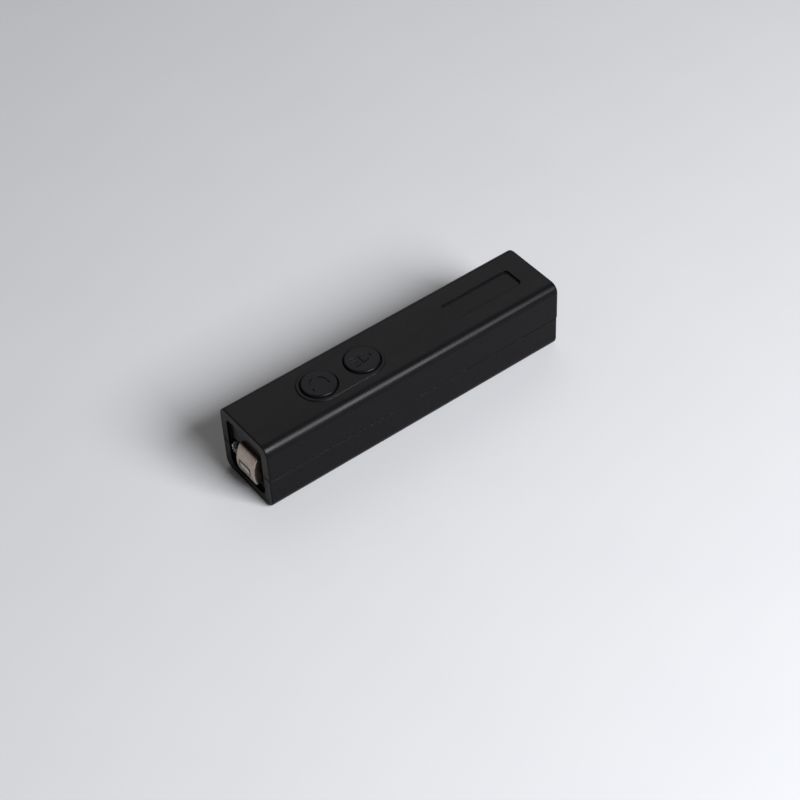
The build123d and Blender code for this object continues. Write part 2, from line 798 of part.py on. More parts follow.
def make_switch_covers():
    with BuildPart() as covers:
        with BuildSketch(Plane.XY.offset(board_top + switch_base_height)):
            with Locations([(x, 0) for x in button_x.values()]):
                RectangleRounded(switch_size, switch_size, switch_corner)
                Circle(stem_hole_radius, mode=Mode.SUBTRACT)
        extrude(amount=switch_cover_thickness)
        # Folded side tabs grip the base.
        tab_offset = (switch_size + switch_tab_thickness) / 2
        with BuildSketch(Plane.XY.offset(board_top + switch_tab_low)):
            for x in button_x.values():
                with Locations((x, tab_offset), (x, -tab_offset)):
                    Rectangle(switch_tab_width, switch_tab_thickness)
        extrude(amount=switch_base_height + switch_cover_thickness - switch_tab_low)
    return covers.part


def make_switch_pins():
    with BuildPart() as pins:
        with BuildSketch(Plane.XY.offset(board_low)):
            for x in button_x.values():
                with Locations((x, 0)):
                    with GridLocations(switch_size + pin_thickness, 2 * pin_spread, 2, 2):
                        Rectangle(pin_thickness, pin_width)
        extrude(amount=board_thickness + pin_rise)
    return pins.part


def make_circuit_board():
    notch_radius = boss_radius + board_notch_gap
    with BuildPart() as circuit_board:
        with BuildSketch(Plane.XY.offset(board_low)):
            with Locations((board_x, 0)):
                RectangleRounded(board_end - board_start, board_width, board_corner)
            # Clear of the screw bosses, the lamp leads, the switch pins and the wires.
            with Locations((screw_x, screw_y), (screw_x, -screw_y)):
                Circle(notch_radius, mode=Mode.SUBTRACT)
            with Locations((screw_x, case_width / 2), (screw_x, -case_width / 2)):
                Rectangle(2 * notch_radius, case_width - 2 * screw_y, mode=Mode.SUBTRACT)
            with Locations([(lead_turn_x, led_y + side * lead_spacing / 2) for side in (1, -1)]):
                Circle(board_hole_radius, mode=Mode.SUBTRACT)
            for x in button_x.values():
                with Locations((x, 0)):
                    with GridLocations(switch_size + pin_thickness, 2 * pin_spread, 2, 2):
                        Circle(board_hole_radius, mode=Mode.SUBTRACT)
        extrude(amount=board_thickness)
    return circuit_board.part


def make_chip(x, length, width):
    # Small-outline chip hung under the board, with four legs on each side.
    body_low = board_low - chip_drop
    foot_low = board_low - chip_leg_thickness
    with BuildPart() as chip:
        with BuildSketch(Plane((x, 0, body_low))):
            Rectangle(length, width)
        extrude(amount=chip_height)
        chamfer(edges().group_by(Axis.Z)[0], length=chip_edge)
        with BuildSketch(Plane((x, 0, foot_low))):
            with GridLocations(chip_leg_pitch, width + chip_foot, chip_legs, 2):
                Rectangle(chip_leg_width, chip_foot)
        extrude(amount=chip_leg_thickness)
        with BuildSketch(Plane((x, 0, body_low + chip_height / 2))):
            with GridLocations(chip_leg_pitch, width + chip_knee, chip_legs, 2):
                Rectangle(chip_leg_width, chip_knee)
        extrude(amount=chip_drop - chip_height / 2)
    return chip.part


def make_chip_group(places, length, width, height):
    with BuildPart() as group:
        with BuildSketch(Plane.XY.offset(board_low - height)):
            with Locations([(front_x + x, y) for x, y in places]):
                Rectangle(length, width)
        extrude(amount=height)
    return group.part


def make_boost_inductor():
    # Drum core with a winding between its two flanges.
    flange_radius = 2.6
    winding_radius = 2.35
    core_radius = 1.6
    height = 3.0
    flange = 0.6
    low = board_low - height
    place = (inductor_x, -big_part_y)
    with BuildPart() as inductor:
        with BuildSketch(Plane((*place, low))):
            Circle(flange_radius)
        extrude(amount=flange)
        with BuildSketch(Plane((*place, board_low - flange))):
            Circle(flange_radius)
        extrude(amount=flange)
        with BuildSketch(Plane((*place, low))):
            Circle(core_radius)
        extrude(amount=height)
        with BuildSketch(Plane((*place, low + flange))):
            Circle(winding_radius)
        extrude(amount=height - 2 * flange)
    return inductor.part


def make_smoothing_capacitor():
    radius = 2.0
    rim_radius = 0.35
    height = 5.4
    base_size = 4.3
    base_height = 0.4
    base_corner = 0.5
    place = (inductor_x, big_part_y)
    with BuildPart() as capacitor:
        with BuildSketch(Plane((*place, board_low - height))):
            Circle(radius)
        extrude(amount=height - base_height)
        fillet(edges().filter_by(GeomType.CIRCLE).sort_by(Axis.Z)[0], radius=rim_radius)
        with BuildSketch(Plane((*place, board_low - base_height))):
            RectangleRounded(base_size, base_size, base_corner)
        extrude(amount=base_height)
    return capacitor.part


def make_sensitivity_trimmer():
    body_length = 3.4
    body_width = 3.0
    body_height = 1.2
    rotor_radius = 1.2
    rotor_height = 0.4
    slot_length = 1.8
    slot_width = 0.4
    slot_depth = 0.25
    with BuildPart() as trimmer:
        with BuildSketch(Plane((trimmer_x, 0, board_low - body_height))):
            Rectangle(body_length, body_width)
        extrude(amount=body_height)
        with BuildSketch(Plane((trimmer_x, 0, board_low - body_height - rotor_height))):
            Circle(rotor_radius)
        extrude(amount=rotor_height)
        with BuildSketch(Plane((trimmer_x, 0, board_low - body_height - rotor_height))):
            Rectangle(slot_length, slot_width)
        extrude(amount=slot_depth, mode=Mode.SUBTRACT)
    return trimmer.part


def ahead_of_back(shape):
    return shape.center().X < head_back_x - pick_slack


def head_face_x(height):
    # Where the curved face of the can is at a height.
    drop = height - head_nose_height
    return head_tip_x + head_face_radius - (head_face_radius**2 - drop**2) ** 0.5


def head_profile():
    # Side view of the can: flat top, bottom and back, and a front face curved about the Y axis.
    low_x = head_face_x(head_low)
    high_x = head_face_x(head_high)
    with BuildSketch(Plane.XZ.offset(-head_y - head_width / 2)) as profile:
        with BuildLine():
            Line((head_back_x, head_low), (low_x, head_low))
            ThreePointArc((low_x, head_low), (head_tip_x, head_nose_height), (high_x, head_high))
            Line((high_x, head_high), (head_back_x, head_high))
            Line((head_back_x, head_high), (head_back_x, head_low))
        make_face()
        fillet(vertices().filter_by(ahead_of_back), radius=head_corner_radius)
    return profile.sketch


def make_head_can():
    profile = head_profile()
    with BuildPart() as can:
        extrude(profile, amount=head_width)
        fillet(faces().filter_by(Axis.Y).edges().filter_by(ahead_of_back), radius=head_edge_radius)
        # Hollow from the back, and a window in the face.
        with BuildSketch(Plane.YZ.offset(head_tip_x + head_front_wall)):
            with Locations((head_y, head_middle)):
                RectangleRounded(
                    head_width - 2 * head_wall,
                    head_high - head_low - 2 * head_wall,
                    head_inner_corner,
                )
        extrude(amount=head_depth, mode=Mode.SUBTRACT)
        with BuildSketch(Plane.YZ.offset(head_tip_x - cut_over)):
            with Locations((head_y, head_window_middle)):
                RectangleRounded(head_window_width, head_window_height, head_window_corner)
        extrude(amount=head_front_wall + 2 * cut_over, mode=Mode.SUBTRACT)
    return can.part


def make_head_core():
    # Two laminated halves whose tips meet at the working gap.
    tip = head_tip_x + core_recess
    gap_side = core_gap / 2
    shoulder = tip + core_tip_length
    back = tip + core_length
    hollow = tip + core_hollow_start
    with BuildPart() as core:
        for side in (1, -1):
            with BuildSketch(Plane.XZ.offset(-head_y - core_width / 2)):
                with BuildLine():
                    Polyline(
                        (tip, head_nose_height + side * gap_side),
                        (tip, head_nose_height + side * core_tip_height),
                        (shoulder, head_nose_height + side * core_tip_height),
                        (shoulder + core_slope, head_nose_height + side * core_outer),
                        (back, head_nose_height + side * core_outer),
                        (back, head_nose_height + side * gap_side),
                        (back - core_back_limb, head_nose_height + side * gap_side),
                        (back - core_back_limb, head_nose_height + side * core_inner),
                        (hollow + core_slope, head_nose_height + side * core_inner),
                        (hollow, head_nose_height + side * gap_side),
                        close=True,
                    )
                make_face()
            extrude(amount=core_width)
    return core.part


def make_head_gap_spacer():
    with BuildPart() as spacer:
        with BuildSketch(Plane.YZ.offset(head_tip_x + core_recess)):
            with Locations((head_y, head_nose_height)):
                Rectangle(core_width, core_gap)
        extrude(amount=spacer_depth)
    return spacer.part


def make_head_resin():
    with BuildPart() as resin:
        with BuildSketch(Plane.YZ.offset(head_tip_x + resin_recess)):
            with Locations((head_y, head_window_middle)):
                RectangleRounded(head_window_width, head_window_height, head_window_corner)
            with Locations((head_y, head_nose_height)):
                Rectangle(core_width, 2 * core_tip_height, mode=Mode.SUBTRACT)
        extrude(amount=resin_depth)
    return resin.part


def make_head_bobbin():
    # A square tube round the back limb, with a flange at each end.
    low = head_nose_height - coil_half_height - coil_flange
    high = head_nose_height + coil_half_height
    with BuildPart() as bobbin:
        with BuildSketch(Plane((coil_limb_x, head_y, low))):
            Rectangle(bobbin_length, bobbin_width)
            Rectangle(core_back_limb + bobbin_play, core_width + bobbin_play, mode=Mode.SUBTRACT)
        extrude(amount=2 * (coil_half_height + coil_flange))
        for height in (low, high):
            with BuildSketch(Plane((coil_limb_x, head_y, height))):
                Rectangle(coil_flange_length, coil_flange_width)
                Rectangle(bobbin_length, bobbin_width, mode=Mode.SUBTRACT)
            extrude(amount=coil_flange)
    return bobbin.part


def make_head_coil():
    with BuildPart() as coil:
        with BuildSketch(Plane((coil_limb_x, head_y, head_nose_height - coil_half_height))):
            RectangleRounded(coil_length, coil_width, coil_corner)
            Rectangle(bobbin_length, bobbin_width, mode=Mode.SUBTRACT)
        extrude(amount=2 * coil_half_height)
    return coil.part


def make_head_terminal_board():
    clearance = 0.1
    with BuildPart() as terminal_board:
        with BuildSketch(Plane.YZ.offset(head_back_x - terminal_board_thickness)):
            with Locations((head_y, head_middle)):
                RectangleRounded(
                    head_width - 2 * head_wall - clearance,
                    head_high - head_low - 2 * head_wall - clearance,
                    head_inner_corner,
                )
                with Locations((-terminal_spacing / 2, 0), (terminal_spacing / 2, 0)):
                    Circle(terminal_radius, mode=Mode.SUBTRACT)
        extrude(amount=terminal_board_thickness)
    return terminal_board.part


def make_head_terminals():
    with BuildPart() as terminals:
        with BuildSketch(Plane.YZ.offset(head_back_x - terminal_board_thickness)):
            with Locations([(head_y + side * terminal_spacing / 2, head_middle) for side in (1, -1)]):
                Circle(terminal_radius)
        extrude(amount=terminal_board_thickness + terminal_length)
    return terminals.part


def make_head_pad():
    with BuildPart() as pad:
        with BuildSketch(Plane((head_pad_x, head_y, head_high))):
            Rectangle(head_pad_length, head_pad_width)
        extrude(amount=head_pad_thickness)
    return pad.part


def facing_tail(x, y, z):
    return Plane((x, y, z), x_dir=(0, 1, 0), z_dir=(1, 0, 0))


def make_led_leads():
    half = lead_size / 2
    top = board_top + lead_above_board
    with BuildPart() as leads:
        for side in (1, -1):
            y = led_y + side * lead_spacing / 2
            # Square wire from inside the lens, back and up through the board.
            with BuildSketch(Plane.XZ.offset(-y - half)):
                with BuildLine():
                    Polyline(
                        (lead_start_x, led_height - half),
                        (lead_turn_x + half, led_height - half),
                        (lead_turn_x + half, top),
                        (lead_turn_x - half, top),
                        (lead_turn_x - half, led_height + half),
                        (lead_start_x, led_height + half),
                        close=True,
                    )
                make_face()
            extrude(amount=lead_size)
        with BuildSketch(facing_tail(anvil_x, anvil_y, led_height)):
            Rectangle(*anvil_size)
        extrude(amount=anvil_depth)
        with BuildSketch(facing_tail(cup_x, cup_y, led_height)):
            Circle(cup_radius)
        extrude(amount=cup_depth)
        with BuildSketch(facing_tail(post_x, post_y, led_height)):
            Rectangle(*post_size)
        extrude(amount=post_depth)
    return leads.part


def make_led_lens(leads):
    flange_x = led_tip_x + led_length - led_flange_thickness
    with BuildPart() as lens:
        with BuildSketch(facing_tail(led_tip_x + led_radius, led_y, led_height)):
            Circle(led_radius)
        extrude(amount=led_length - led_radius)
        with Locations((led_tip_x + led_radius, led_y, led_height)):
            Sphere(led_radius)
        with BuildSketch(facing_tail(flange_x, led_y, led_height)):
            Circle(led_flange_radius)
        extrude(amount=led_flange_thickness)
        add(leads, mode=Mode.SUBTRACT)
    return lens.part


def make_cell_can():
    with BuildPart() as can:
        with BuildSketch(Plane.YZ.offset(cell_body_x)):
            with Locations((0, cell_height)):
                Circle(cell_radius - cell_sleeve)
        extrude(amount=cell_start + cell_length - cell_body_x)
        fillet(edges().filter_by(GeomType.CIRCLE).sort_by(Axis.X)[-1], radius=cell_edge_radius)
    return can.part


def make_cell_sleeve():
    with BuildPart() as sleeve:
        with BuildSketch(Plane.YZ.offset(cell_body_x)):
            with Locations((0, cell_height)):
                Circle(cell_radius)
                Circle(cell_radius - cell_sleeve, mode=Mode.SUBTRACT)
        extrude(amount=cell_start + cell_length - cell_body_x - cell_bare_end)
    return sleeve.part


def make_cell_positive_cap():
    with BuildPart() as cap:
        with BuildSketch(Plane.YZ.offset(cell_start)):
            with Locations((0, cell_height)):
                Circle(nub_radius)
        extrude(amount=nub_length)
        fillet(edges().filter_by(GeomType.CIRCLE).sort_by(Axis.X)[0], radius=nub_edge_radius)
        with BuildSketch(Plane.YZ.offset(cell_start + nub_length)):
            with Locations((0, cell_height)):
                Circle(cell_top_radius)
        extrude(amount=cell_top_thickness)
    return cap.part


def make_cell_seal():
    with BuildPart() as seal:
        with BuildSketch(Plane.YZ.offset(cell_start + nub_length)):
            with Locations((0, cell_height)):
                Circle(cell_radius - cell_sleeve)
                Circle(cell_top_radius, mode=Mode.SUBTRACT)
        extrude(amount=cell_top_thickness)
    return seal.part


def make_positive_contact():
    plate_x = partition_x + partition_thickness
    fold = partition_thickness + 2 * contact_thickness
    with BuildPart() as contact:
        with BuildSketch(Plane.YZ.offset(plate_x)):
            with Locations((0, cell_height)):
                RectangleRounded(*positive_plate_size, contact_corner)
            with Locations((tab_y, (tab_low + upper_partition_low) / 2)):
                Rectangle(tab_width, upper_partition_low - tab_low)
        extrude(amount=contact_thickness)
        # Solder tab folded forward through the notch of the upper partition.
        with BuildSketch(Plane.XY.offset(tab_fold_height)):
            with Locations((plate_x - fold / 2, tab_y)):
                Rectangle(fold + 2 * contact_thickness, tab_width)
        extrude(amount=contact_thickness)
    return contact.part


def make_negative_contact():
    with BuildPart() as contact:
        with BuildSketch(Plane.YZ.offset(contact_plate_x)):
            with Locations((0, cell_height)):
                RectangleRounded(*negative_plate_size, contact_corner)
            # Solder ear that reaches up and out to the wire.
            with Locations(ear_place):
                Rectangle(*ear_size)
            with Locations(ear_neck_place):
                Rectangle(*ear_neck_size)
        extrude(amount=contact_thickness)
    return contact.part


def make_negative_spring():
    # Coil squeezed between the cell's flat end and the contact plate.
    start = cell_start + cell_length
    height = contact_plate_x - start - 2 * spring_wire
    with BuildPart() as spring:
        with BuildLine() as coil:
            Helix(
                pitch=height / 2,
                height=height,
                radius=spring_radius,
                center=(start + spring_wire, 0, cell_height),
                direction=(1, 0, 0),
            )
        with BuildSketch(Plane(coil.line @ 0, z_dir=coil.line % 0)):
            Circle(spring_wire)
        sweep(is_frenet=True)
    return spring.part


def make_motor_can():
    with BuildPart() as can:
        with BuildSketch(Plane.YZ.offset(motor_x)):
            with Locations((0, motor_height)):
                Circle(motor_radius)
        extrude(amount=motor_length)
        fillet(edges().filter_by(GeomType.CIRCLE).sort_by(Axis.X)[-1], radius=motor_edge_radius)
        with BuildSketch(Plane.YZ.offset(motor_x)):
            with Locations((0, motor_height)):
                Circle(motor_radius - motor_wall)
        extrude(amount=motor_length - motor_nose_wall, mode=Mode.SUBTRACT)
        with BuildSketch(Plane.YZ.offset(motor_x)):
            with Locations((0, motor_height)):
                Circle(shaft_radius + shaft_run)
        extrude(amount=motor_length + cut_over, mode=Mode.SUBTRACT)
    return can.part


def make_motor_end_cap():
    with BuildPart() as end_cap:
        with BuildSketch(Plane.YZ.offset(motor_x - motor_end_thickness)):
            with Locations((0, motor_height)):
                Circle(motor_radius)
        extrude(amount=motor_end_thickness)
        with BuildSketch(Plane.YZ.offset(motor_x)):
            with Locations((0, motor_height)):
                Circle(motor_radius - motor_wall)
        extrude(amount=motor_spigot)
    return end_cap.part


def make_motor_magnet():
    with BuildPart() as magnet:
        with BuildSketch(Plane.YZ.offset(magnet_x)):
            with Locations((0, motor_height)):
                Circle(magnet_radius)
                Circle(shaft_radius + shaft_run, mode=Mode.SUBTRACT)
        extrude(amount=motor_x + motor_length - motor_nose_wall - magnet_x)
    return magnet.part


def make_motor_armature():
    # A cup of wire that turns round the magnet, closed by a disc on the shaft.
    with BuildPart() as armature:
        with BuildSketch(Plane.YZ.offset(armature_x)):
            with Locations((0, motor_height)):
                Circle(armature_radius)
                Circle(armature_hollow, mode=Mode.SUBTRACT)
        extrude(amount=armature_length)
        with BuildSketch(Plane.YZ.offset(armature_x)):
            with Locations((0, motor_height)):
                Circle(armature_disc_radius)
                Circle(shaft_radius, mode=Mode.SUBTRACT)
        extrude(amount=armature_disc)
    return armature.part


def make_motor_shaft():
    with BuildPart() as shaft:
        with BuildSketch(Plane.YZ.offset(shaft_x)):
            with Locations((0, motor_height)):
                Circle(shaft_radius)
        extrude(amount=weight_x + weight_length + shaft_overhang - shaft_x)
        chamfer(edges().filter_by(GeomType.CIRCLE).sort_by(Axis.X)[-1], length=shaft_edge)
    return shaft.part


def make_eccentric_weight():
    flat_height = 0.9
    hub_radius = 1.25
    with BuildPart() as weight:
        with BuildSketch(Plane.YZ.offset(weight_x)):
            with Locations((0, motor_height)):
                Circle(weight_radius)
            with Locations((0, motor_height + flat_height + weight_radius)):
                Rectangle(2 * weight_radius, 2 * weight_radius, mode=Mode.SUBTRACT)
            with Locations((0, motor_height)):
                Circle(hub_radius)
                Circle(shaft_radius, mode=Mode.SUBTRACT)
        extrude(amount=weight_length)
    return weight.part


def make_motor_boot():
    with BuildPart() as boot:
        with BuildSketch(Plane.YZ.offset(boot_x)):
            with Locations((0, motor_height)):
                Circle(motor_radius + boot_wall)
                Circle(motor_radius, mode=Mode.SUBTRACT)
        extrude(amount=boot_length)
    return boot.part


def make_wire(points, radii):
    with BuildPart() as wire:
        with BuildLine() as route:
            FilletPolyline(*points, radius=radii)
        with BuildSketch(Plane(route.line @ 0, z_dir=route.line % 0)):
            Circle(wire_radius)
        sweep()
    return wire.part


def make_positive_wire():
    # From the solder tab to the board.
    height = upper_partition_low + wire_radius
    route = [
        (positive_wire_x, tab_y, height),
        (positive_drop_x, tab_y, height),
        (positive_drop_x, positive_drop_y, height),
        (positive_drop_x, positive_drop_y, board_top),
    ]
    return make_wire(route, middle_bend)


def make_negative_wire():
    # From the ear of the negative contact, along the wall over the cell, and down to the board.
    start_x = contact_plate_x - wire_radius
    route = [
        (start_x, ear_joint_y, lower_partition_top),
        (start_x, ear_joint_y, wire_run_height),
        (start_x, wire_run_y, wire_run_height),
        (negative_drop_x, wire_run_y, wire_run_height),
        (negative_drop_x, negative_drop_y, wire_run_height),
        (negative_drop_x, negative_drop_y, board_top),
    ]
    return make_wire(route, tight_bend)


def make_motor_wires():
    start_x = motor_x - motor_end_thickness
    wires = []
    for side in (1, -1):
        route = [
            (start_x, side * motor_wire_y, motor_height),
            (motor_drop_x, side * motor_wire_y, motor_height),
            (motor_drop_x, side * motor_drop_y, motor_height + motor_wire_rise),
            (motor_drop_x, side * motor_drop_y, board_low),
        ]
        wires.append(make_wire(route, middle_bend))
    return Compound(children=wires)


def make_head_wires():
    start_x = head_back_x + terminal_length
    drop_x = start_x + head_wire_reach
    wires = []
    for side in (1, -1):
        y = head_y + side * terminal_spacing / 2
        route = [(start_x, y, head_middle), (drop_x, y, head_middle), (drop_x, y, board_low)]
        wires.append(make_wire(route, wide_bend))
    return Compound(children=wires)


def main():
    os.makedirs("parts", exist_ok=True)
    save(make_upper_shell(), "upper_shell")
    save(make_lower_shell(), "lower_shell")
    save(make_battery_door(), "battery_door")
    save(make_case_screws(), "case_screws")
    for name in button_x:
        save(make_button_cap(name), f"{name}_button_cap")
        save(make_switch_stem(name), f"{name}_switch_stem")
        save(make_switch_dome(name), f"{name}_switch_dome")
    save(make_switch_bases(), "switch_bases")
    save(make_switch_covers(), "switch_covers")
    save(make_switch_pins(), "switch_pins")
    save(make_circuit_board(), "circuit_board")
    save(make_chip(amplifier_x, chip_length, chip_width), "amplifier_chip")
    save(make_chip(controller_x, chip_length, chip_width), "controller_chip")
    save(make_chip_group(resistor_places, *resistor_size), "chip_resistors")
    save(make_chip_group(capacitor_places, *capacitor_size), "chip_capacitors")
    save(make_boost_inductor(), "boost_inductor")
    save(make_smoothing_capacitor(), "smoothing_capacitor")
    save(make_sensitivity_trimmer(), "sensitivity_trimmer")
    save(make_head_can(), "read_head_can")
    save(make_head_core(), "read_head_core")
    save(make_head_gap_spacer(), "read_head_gap_spacer")
    save(make_head_resin(), "read_head_resin")
    save(make_head_bobbin(), "read_head_bobbin")
    save(make_head_coil(), "read_head_coil")
    save(make_head_terminal_board(), "read_head_terminal_board")
    save(make_head_terminals(), "read_head_terminals")
    save(make_head_pad(), "read_head_pad")
    leads = make_led_leads()
    save(leads, "uv_led_leads")
    save(make_led_lens(leads), "uv_led_lens")
    save(make_cell_can(), "cell_can")
    save(make_cell_sleeve(), "cell_sleeve")
    save(make_cell_positive_cap(), "cell_positive_cap")
    save(make_cell_seal(), "cell_seal")
    save(make_positive_contact(), "positive_contact")
    save(make_negative_contact(), "negative_contact")
    save(make_negative_spring(), "negative_contact_spring")
    save(make_motor_can(), "motor_can")
    save(make_motor_end_cap(), "motor_end_cap")
    save(make_motor_magnet(), "motor_magnet")
    save(make_motor_armature(), "motor_armature")
    save(make_motor_shaft(), "motor_shaft")
    save(make_eccentric_weight(), "eccentric_weight")
    save(make_motor_boot(), "motor_boot")
    save(make_positive_wire(), "positive_wire")
    save(make_negative_wire(), "negative_wire")
    save(make_motor_wires(), "motor_wires")
    save(make_head_wires(), "head_wires")


main()
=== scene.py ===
import json
import math

import bpy
from mathutils import Matrix, Vector


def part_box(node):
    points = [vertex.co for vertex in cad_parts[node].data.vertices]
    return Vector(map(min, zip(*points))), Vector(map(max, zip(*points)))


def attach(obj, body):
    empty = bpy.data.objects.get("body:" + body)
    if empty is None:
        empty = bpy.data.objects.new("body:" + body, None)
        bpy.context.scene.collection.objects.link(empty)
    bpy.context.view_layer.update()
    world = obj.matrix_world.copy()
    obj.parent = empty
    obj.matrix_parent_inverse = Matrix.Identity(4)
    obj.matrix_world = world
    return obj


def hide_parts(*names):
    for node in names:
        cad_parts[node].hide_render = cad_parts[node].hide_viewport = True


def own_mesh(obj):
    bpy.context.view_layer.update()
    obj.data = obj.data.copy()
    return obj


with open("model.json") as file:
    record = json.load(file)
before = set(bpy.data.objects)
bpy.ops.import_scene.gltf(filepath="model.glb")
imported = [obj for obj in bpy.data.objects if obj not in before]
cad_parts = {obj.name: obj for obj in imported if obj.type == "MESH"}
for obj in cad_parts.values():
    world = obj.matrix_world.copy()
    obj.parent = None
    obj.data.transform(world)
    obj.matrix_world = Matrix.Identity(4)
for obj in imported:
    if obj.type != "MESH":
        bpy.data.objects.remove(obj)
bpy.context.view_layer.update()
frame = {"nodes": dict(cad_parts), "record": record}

# Looks for the hand-held banknote detector: black satin case, nickel-silver reading head, clear
# lamp. Metres, in the same frame as the part: +X to the tail, +Z up, +Y on the lamp side.

MM = 0.001
nodes = frame["nodes"]
BRIGHTEST = 0.9


def scaled(colour, *factors):
    """A colour times one factor, or one factor per channel, kept below a bright white."""
    factors = factors * len(colour) if len(factors) == 1 else factors
    return tuple(min(channel * factor, BRIGHTEST) for channel, factor in zip(colour, factors))


# ---------------------------------------------------------------- node shorthand
class Finish:
    """One procedural material, with short calls for the nodes that the finishes share."""

    def __init__(self, name):
        self.material = bpy.data.materials.new(name)
        self.material.use_nodes = True
        self.tree = self.material.node_tree
        self.shader = self.tree.nodes["Principled BSDF"]
        self.place = self.add("ShaderNodeTexCoord").outputs["Object"]

    def add(self, kind, inputs=None, **settings):
        node = self.tree.nodes.new(kind)
        for key, value in settings.items():
            setattr(node, key, value)
        for key, value in (inputs or {}).items():
            self.give(node.inputs[key], value)
        return node

    def give(self, socket, value):
        if isinstance(value, bpy.types.NodeSocket):
            self.tree.links.new(value, socket)
        else:
            socket.default_value = value

    def set(self, **inputs):
        """Inputs of the Principled shader, with _ for the spaces in their names."""
        for key, value in inputs.items():
            if key.endswith(("Color", "Tint")) and isinstance(value, tuple):
                value = (*value, 1.0)
            self.give(self.shader.inputs[key.replace("_", " ")], value)

    def stretched(self, stretch):
        mapping = self.add("ShaderNodeMapping", {"Vector": self.place, "Scale": stretch})
        return mapping.outputs["Vector"]

    def noise(self, size, detail=3.0, rough=0.55, stretch=None):
        """Noise from 0 to 1 whose patches are about size metres across."""
        place = self.stretched(stretch) if stretch else self.place
        node = self.add(
            "ShaderNodeTexNoise",
            {"Vector": place, "Scale": 1 / size, "Detail": detail, "Roughness": rough},
        )
        return node.outputs["Factor" if "Factor" in node.outputs else "Fac"]

    def cells(self, size, feature="F1", randomness=1.0):
        node = self.add(
            "ShaderNodeTexVoronoi",
            {"Vector": self.place, "Scale": 1 / size, "Randomness": randomness},
            feature=feature,
        )
        return node

    def ramp(self, value, start, end, low=0.0, high=1.0):
        node = self.add(
            "ShaderNodeMapRange",
            {"Value": value, "From Min": start, "From Max": end, "To Min": low, "To Max": high},
            interpolation_type="SMOOTHSTEP",
        )
        return node.outputs["Result"]

    def math(self, operation, first, second=0.0):
        node = self.add("ShaderNodeMath", operation=operation)
        self.give(node.inputs[0], first)
        self.give(node.inputs[1], second)
        return node.outputs["Value"]

    def mix(self, factor, first, second):
        """Colour that goes from first to second as factor goes from 0 to 1."""
        node = self.add("ShaderNodeMix", data_type="RGBA")
        self.give(node.inputs["Factor"], factor)
        for socket, colour in ((node.inputs[6], first), (node.inputs[7], second)):
            self.give(socket, (*colour, 1.0) if isinstance(colour, tuple) else colour)
        return node.outputs[2]

    def bump(self, height, depth, strength=1.0, under=None):
        node = self.add("ShaderNodeBump", {"Height": height, "Distance": depth, "Strength": strength})
        if under is not None:
            self.give(node.inputs["Normal"], under)
        return node.outputs["Normal"]

    def axis(self, letter):
        return self.add("ShaderNodeSeparateXYZ", {"Vector": self.place}).outputs[letter]

    def stripes(self, letter, pitch, share):
        """1 on lines across the axis, 0 between them; share is how much of each pitch a line takes."""
        turns = self.math("FRACT", self.math("MULTIPLY", self.axis(letter), 1 / pitch))
        return self.math("LESS_THAN", turns, share)

    def band(self, letter, low, high, soft=0.05 * MM):
        """1 between two places on an axis, with soft ends."""
        place = self.axis(letter)
        rising = self.ramp(place, low - soft, low + soft)
        falling = self.ramp(place, high - soft, high + soft, 1.0, 0.0)
        return self.math("MULTIPLY", rising, falling)

    def corners(self, radius):
        """1 on sharp edges within radius, 0 on open faces, and the softened normal there."""
        rounded = self.add("ShaderNodeBevel", {"Radius": radius}, samples=4).outputs["Normal"]
        flat = self.add("ShaderNodeNewGeometry").outputs["True Normal"]
        likeness = self.add("ShaderNodeVectorMath", {0: rounded, 1: flat}, operation="DOT_PRODUCT")
        return self.ramp(likeness.outputs["Value"], 0.995, 0.86), rounded


# ---------------------------------------------------------------- finishes
def case_plastic(name, colour, roughness):
    """Black moulded plastic: fine spark-eroded grain, hairline scuffs, dust, polished edges, and a
    painted highlight on the edges.
    """
    grain_size, pore_size, smear_size = 0.16 * MM, 0.45 * MM, 11 * MM
    scuff_size, dust_spacing, dusty_patch = 0.9 * MM, 1.1 * MM, 4 * MM
    edge_radius = 0.18 * MM
    along = (0.6, 1.3, 1.3)
    hairline = (0.12, 1.6, 1.6)
    dust_colour = (0.06, 0.058, 0.055)
    f = Finish(name)
    grain = f.noise(grain_size, 2.0, 0.6)
    pores = f.noise(pore_size, 2.0, 0.5)
    smears = f.noise(smear_size, 4.0, 0.6, along)
    scuffs = f.ramp(f.noise(scuff_size, 2.0, 0.5, hairline), 0.64, 0.74)
    specks = f.ramp(f.cells(dust_spacing).outputs["Distance"], 0.075, 0.045)
    dusty = f.math("MULTIPLY", specks, f.ramp(f.noise(dusty_patch, 2.0), 0.5, 0.62))
    edges, rounded = f.corners(edge_radius)
    mottled = f.mix(f.ramp(pores, 0.3, 0.7), scaled(colour, 0.85), scaled(colour, 1.3))
    # Painted highlight: the colour on sharp edges is lifted to three times the base colour.
    wear_and_painted_highlight = f.mix(f.math("MULTIPLY", edges, 0.5), mottled, scaled(colour, 3.0))
    scuffed = f.mix(f.math("MULTIPLY", scuffs, 0.35), wear_and_painted_highlight, scaled(colour, 2.6))
    base_roughness = f.math(
        "ADD",
        f.ramp(smears, 0.3, 0.7, roughness - 0.04, roughness + 0.05),
        f.ramp(grain, 0.3, 0.7, -0.03, 0.03),
    )
    pitted = f.bump(pores, 0.006 * MM, 0.4, rounded)
    f.set(
        Base_Color=f.mix(f.math("MULTIPLY", dusty, 0.3), scuffed, dust_colour),
        Roughness=f.math("SUBTRACT", base_roughness, f.math("MULTIPLY", edges, 0.06)),
        Specular_IOR_Level=0.075,
        IOR=1.5,
        Normal=f.bump(grain, 0.004 * MM, 0.5, pitted),
    )
    return f.material


